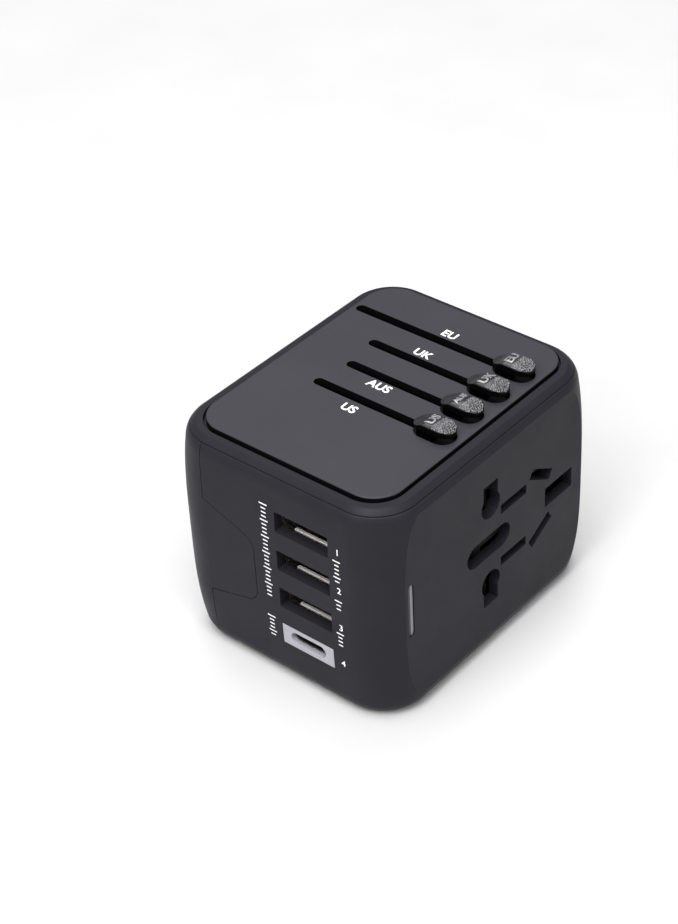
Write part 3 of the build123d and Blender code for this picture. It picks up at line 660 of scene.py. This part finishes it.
def coil_mesh(radius, wire, height, turns):
    """Coil spring that stands on z = 0, whose wire has the given radius."""
    work = bmesh.new()
    steps = int(turns * COIL_STEPS_PER_TURN)
    back = None
    for number in range(steps + 1):
        angle = 2 * math.pi * turns * number / steps
        out = Vector((math.cos(angle), math.sin(angle), 0))
        centre = out * radius + Z_AXIS * (wire + (height - 2 * wire) * number / steps)
        ring = []
        for corner in range(COIL_WIRE_CORNERS):
            turn = 2 * math.pi * corner / COIL_WIRE_CORNERS
            arm = (out * math.cos(turn) + Z_AXIS * math.sin(turn)) * wire
            ring.append(work.verts.new(centre + arm))
        if back:
            join_rings(work, back, ring)
        else:
            work.faces.new(ring[::-1])
        back = ring
    work.faces.new(back)
    bmesh.ops.recalc_face_normals(work, faces=work.faces)
    return finish_mesh(work, "coil")


def press_coils(material):
    """Springs under the buttons, riding on the sliders."""
    for name in LANES:
        low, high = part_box(name + "_spring")
        height = high.z - low.z
        mesh = coil_mesh(COIL_RADIUS, COIL_WIRE_RADIUS, height, COIL_TURNS)
        foot = Vector(((low.x + high.x) / 2, (low.y + high.y) / 2, low.z))
        move_mesh(mesh, foot)
        piece = add_piece(name + "_coil", mesh, material, name + "_slider")
        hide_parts(name + "_spring")
        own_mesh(piece)


# Grip bumps on the knobs: a hexagonal grid, jittered; the jitter and sizes are in millimetres
GRIP_STEP = 0.34 * MM
GRIP_ROW_SHARE = 0.87
GRIP_COLUMNS = 12
GRIP_JITTER = 0.07
GRIP_MARGIN = 0.12 * MM
GRIP_DOME_LENGTH = 3.7 * MM
BUMP_RADII = (0.11, 0.17)
BUMP_HEIGHTS = (0.09, 0.15)
BUMP_CORNERS = 6
BUMP_RINGS = ((1.0, -0.3), (0.62, 0.75))
BUMP_RAY_START = 1 * MM
GRIP_SEED = 7


def grip_spots(low, high, rng):
    """Jittered places of the grip bumps on one knob's dome."""
    middle_y = (low.y + high.y) / 2
    round_centre_x = high.x - (high.y - low.y) / 2
    radius = (high.y - low.y) / 2 - GRIP_MARGIN
    rows = int((high.y - low.y) / GRIP_STEP) + 1
    for row in range(-rows, rows + 1):
        for column in range(GRIP_COLUMNS):
            along = (column + 0.5 * (row % 2)) * GRIP_STEP
            across = row * GRIP_STEP * GRIP_ROW_SHARE
            x = high.x - along + rng.uniform(-GRIP_JITTER, GRIP_JITTER) * MM
            y = middle_y + across + rng.uniform(-GRIP_JITTER, GRIP_JITTER) * MM
            inside = abs(y - middle_y) < radius
            if x > round_centre_x:
                inside = math.hypot(x - round_centre_x, y - middle_y) < radius
            if inside and x > high.x - GRIP_DOME_LENGTH:
                yield x, y


def add_bump(work, surface, x, y, top_z, radius, height):
    """One low six-sided bump that stands on the surface; each ring is a radius and a height share."""
    hit, normal = surface.ray_cast(Vector((x, y, top_z + BUMP_RAY_START)), -Z_AXIS)[:2]
    if hit is None:
        return
    side = normal.cross(Y_AXIS).normalized()
    other = normal.cross(side)
    rings = []
    for share, lift in BUMP_RINGS:
        ring = []
        for corner in range(BUMP_CORNERS):
            angle = 2 * math.pi * corner / BUMP_CORNERS
            arm = (side * math.cos(angle) + other * math.sin(angle)) * radius * share
            ring.append(work.verts.new(hit + arm + normal * height * lift))
        rings.append(ring)
    base, crown = rings
    join_rings(work, base, crown)
    peak = work.verts.new(hit + normal * height)
    for corner in range(BUMP_CORNERS):
        work.faces.new((crown[corner], crown[(corner + 1) % BUMP_CORNERS], peak))


def knob_grips(material):
    """Stippled grip on each knob's dome."""
    rng = random.Random(GRIP_SEED)
    for name in LANES:
        low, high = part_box(name + "_button")
        surface = surface_of(name + "_button")
        work = bmesh.new()
        for x, y in grip_spots(low, high, rng):
            radius = rng.uniform(*BUMP_RADII) * MM
            height = rng.uniform(*BUMP_HEIGHTS) * MM
            add_bump(work, surface, x, y, high.z, radius, height)
        bmesh.ops.recalc_face_normals(work, faces=work.faces)
        mesh = finish_mesh(work, name + "_grip")
        add_piece(name + "_grip", mesh, material, name + "_knob")


# --------------------------------------------------------------- camera, light

def make_camera():
    """Camera at the adapter's three-quarter view, with a slight roll."""
    turn = math.radians(CAMERA_AZIMUTH)
    rise = math.radians(CAMERA_ELEVATION)
    flat = math.cos(rise)
    back = Vector((math.sin(turn) * flat, -math.cos(turn) * flat, math.sin(rise)))
    data = bpy.data.cameras.new("camera")
    data.sensor_width = CAMERA_SENSOR
    data.lens = CAMERA_LENS
    data.shift_x, data.shift_y = CAMERA_SHIFT
    data.clip_start = CAMERA_CLIP_START
    camera = bpy.data.objects.new("camera", data)
    bpy.context.scene.collection.objects.link(camera)
    camera.rotation_mode = "QUATERNION"
    camera.location = CAMERA_PLACE
    straight = (-back).to_track_quat("-Z", "Y")
    camera.rotation_quaternion = straight @ Quaternion(Z_AXIS, math.radians(CAMERA_ROLL))
    bpy.context.scene.camera = camera


# Soft boxes: name, place and width in metres, and power in watts
WORLD_STRENGTH = 0.22
LIGHT_TARGET = (0, 0, 0.025)
SOFT_BOXES = (
    ("top_box", (0.25, -0.45, 1.7), 1.3, 38),
    ("back_box", (-0.45, 0.5, 1.5), 0.9, 13),
    ("near_box", (0.06, -0.24, 0.33), 0.12, 0.5),
    ("left_box", (-0.15, -1.6, 0.95), 0.8, 9),
    ("right_box", (1.6, -0.35, 0.95), 0.7, 3.5),
    ("socket_box", (0.30, -0.10, 0.28), 0.1, 0.28),
)
FLOOR_REACH = 3.0


def area_light(name, place, width, power):
    """Square soft box that looks at the middle of the adapter."""
    data = bpy.data.lights.new(name, "AREA")
    data.shape = "RECTANGLE"
    data.size = width
    data.size_y = width
    data.energy = power
    light = bpy.data.objects.new(name, data)
    light.location = place
    light.rotation_mode = "QUATERNION"
    light.rotation_quaternion = (Vector(LIGHT_TARGET) - Vector(place)).to_track_quat("-Z", "Y")
    bpy.context.scene.collection.objects.link(light)


def make_lights():
    """White room and the soft boxes: above, behind, two small near ones, and one at each side."""
    world = bpy.data.worlds.new("world")
    world.use_nodes = True
    background = world.node_tree.nodes["Background"]
    background.inputs["Color"].default_value = (1, 1, 1, 1)
    background.inputs["Strength"].default_value = WORLD_STRENGTH
    bpy.context.scene.world = world
    for soft_box in SOFT_BOXES:
        area_light(*soft_box)


def make_floor():
    """Wide pale floor under the adapter."""
    mesh = bpy.data.meshes.new("floor")
    signs = ((-1, -1), (1, -1), (1, 1), (-1, 1))
    corners = [(x * FLOOR_REACH, y * FLOOR_REACH, 0) for x, y in signs]
    mesh.from_pydata(corners, [], [(0, 1, 2, 3)])
    mesh.materials.append(floor_paint())
    floor = bpy.data.objects.new("floor", mesh)
    bpy.context.scene.collection.objects.link(floor)


made = finish_cad_nodes()
round_off_knobs()
white = print_white()
# Painted highlight for the letters and grip bumps on the knobs
highlight_paint = grip_plastic()
plate_words(white)
knob_letters(highlight_paint)
knob_grips(highlight_paint)
port_marks(white)
# Near-white lips: a painted highlight in the port mouths
port_lips(bright_lip())
press_coils(made["steel"])
make_camera()
make_lights()
make_floor()
bpy.context.scene.view_settings.view_transform = "Standard"
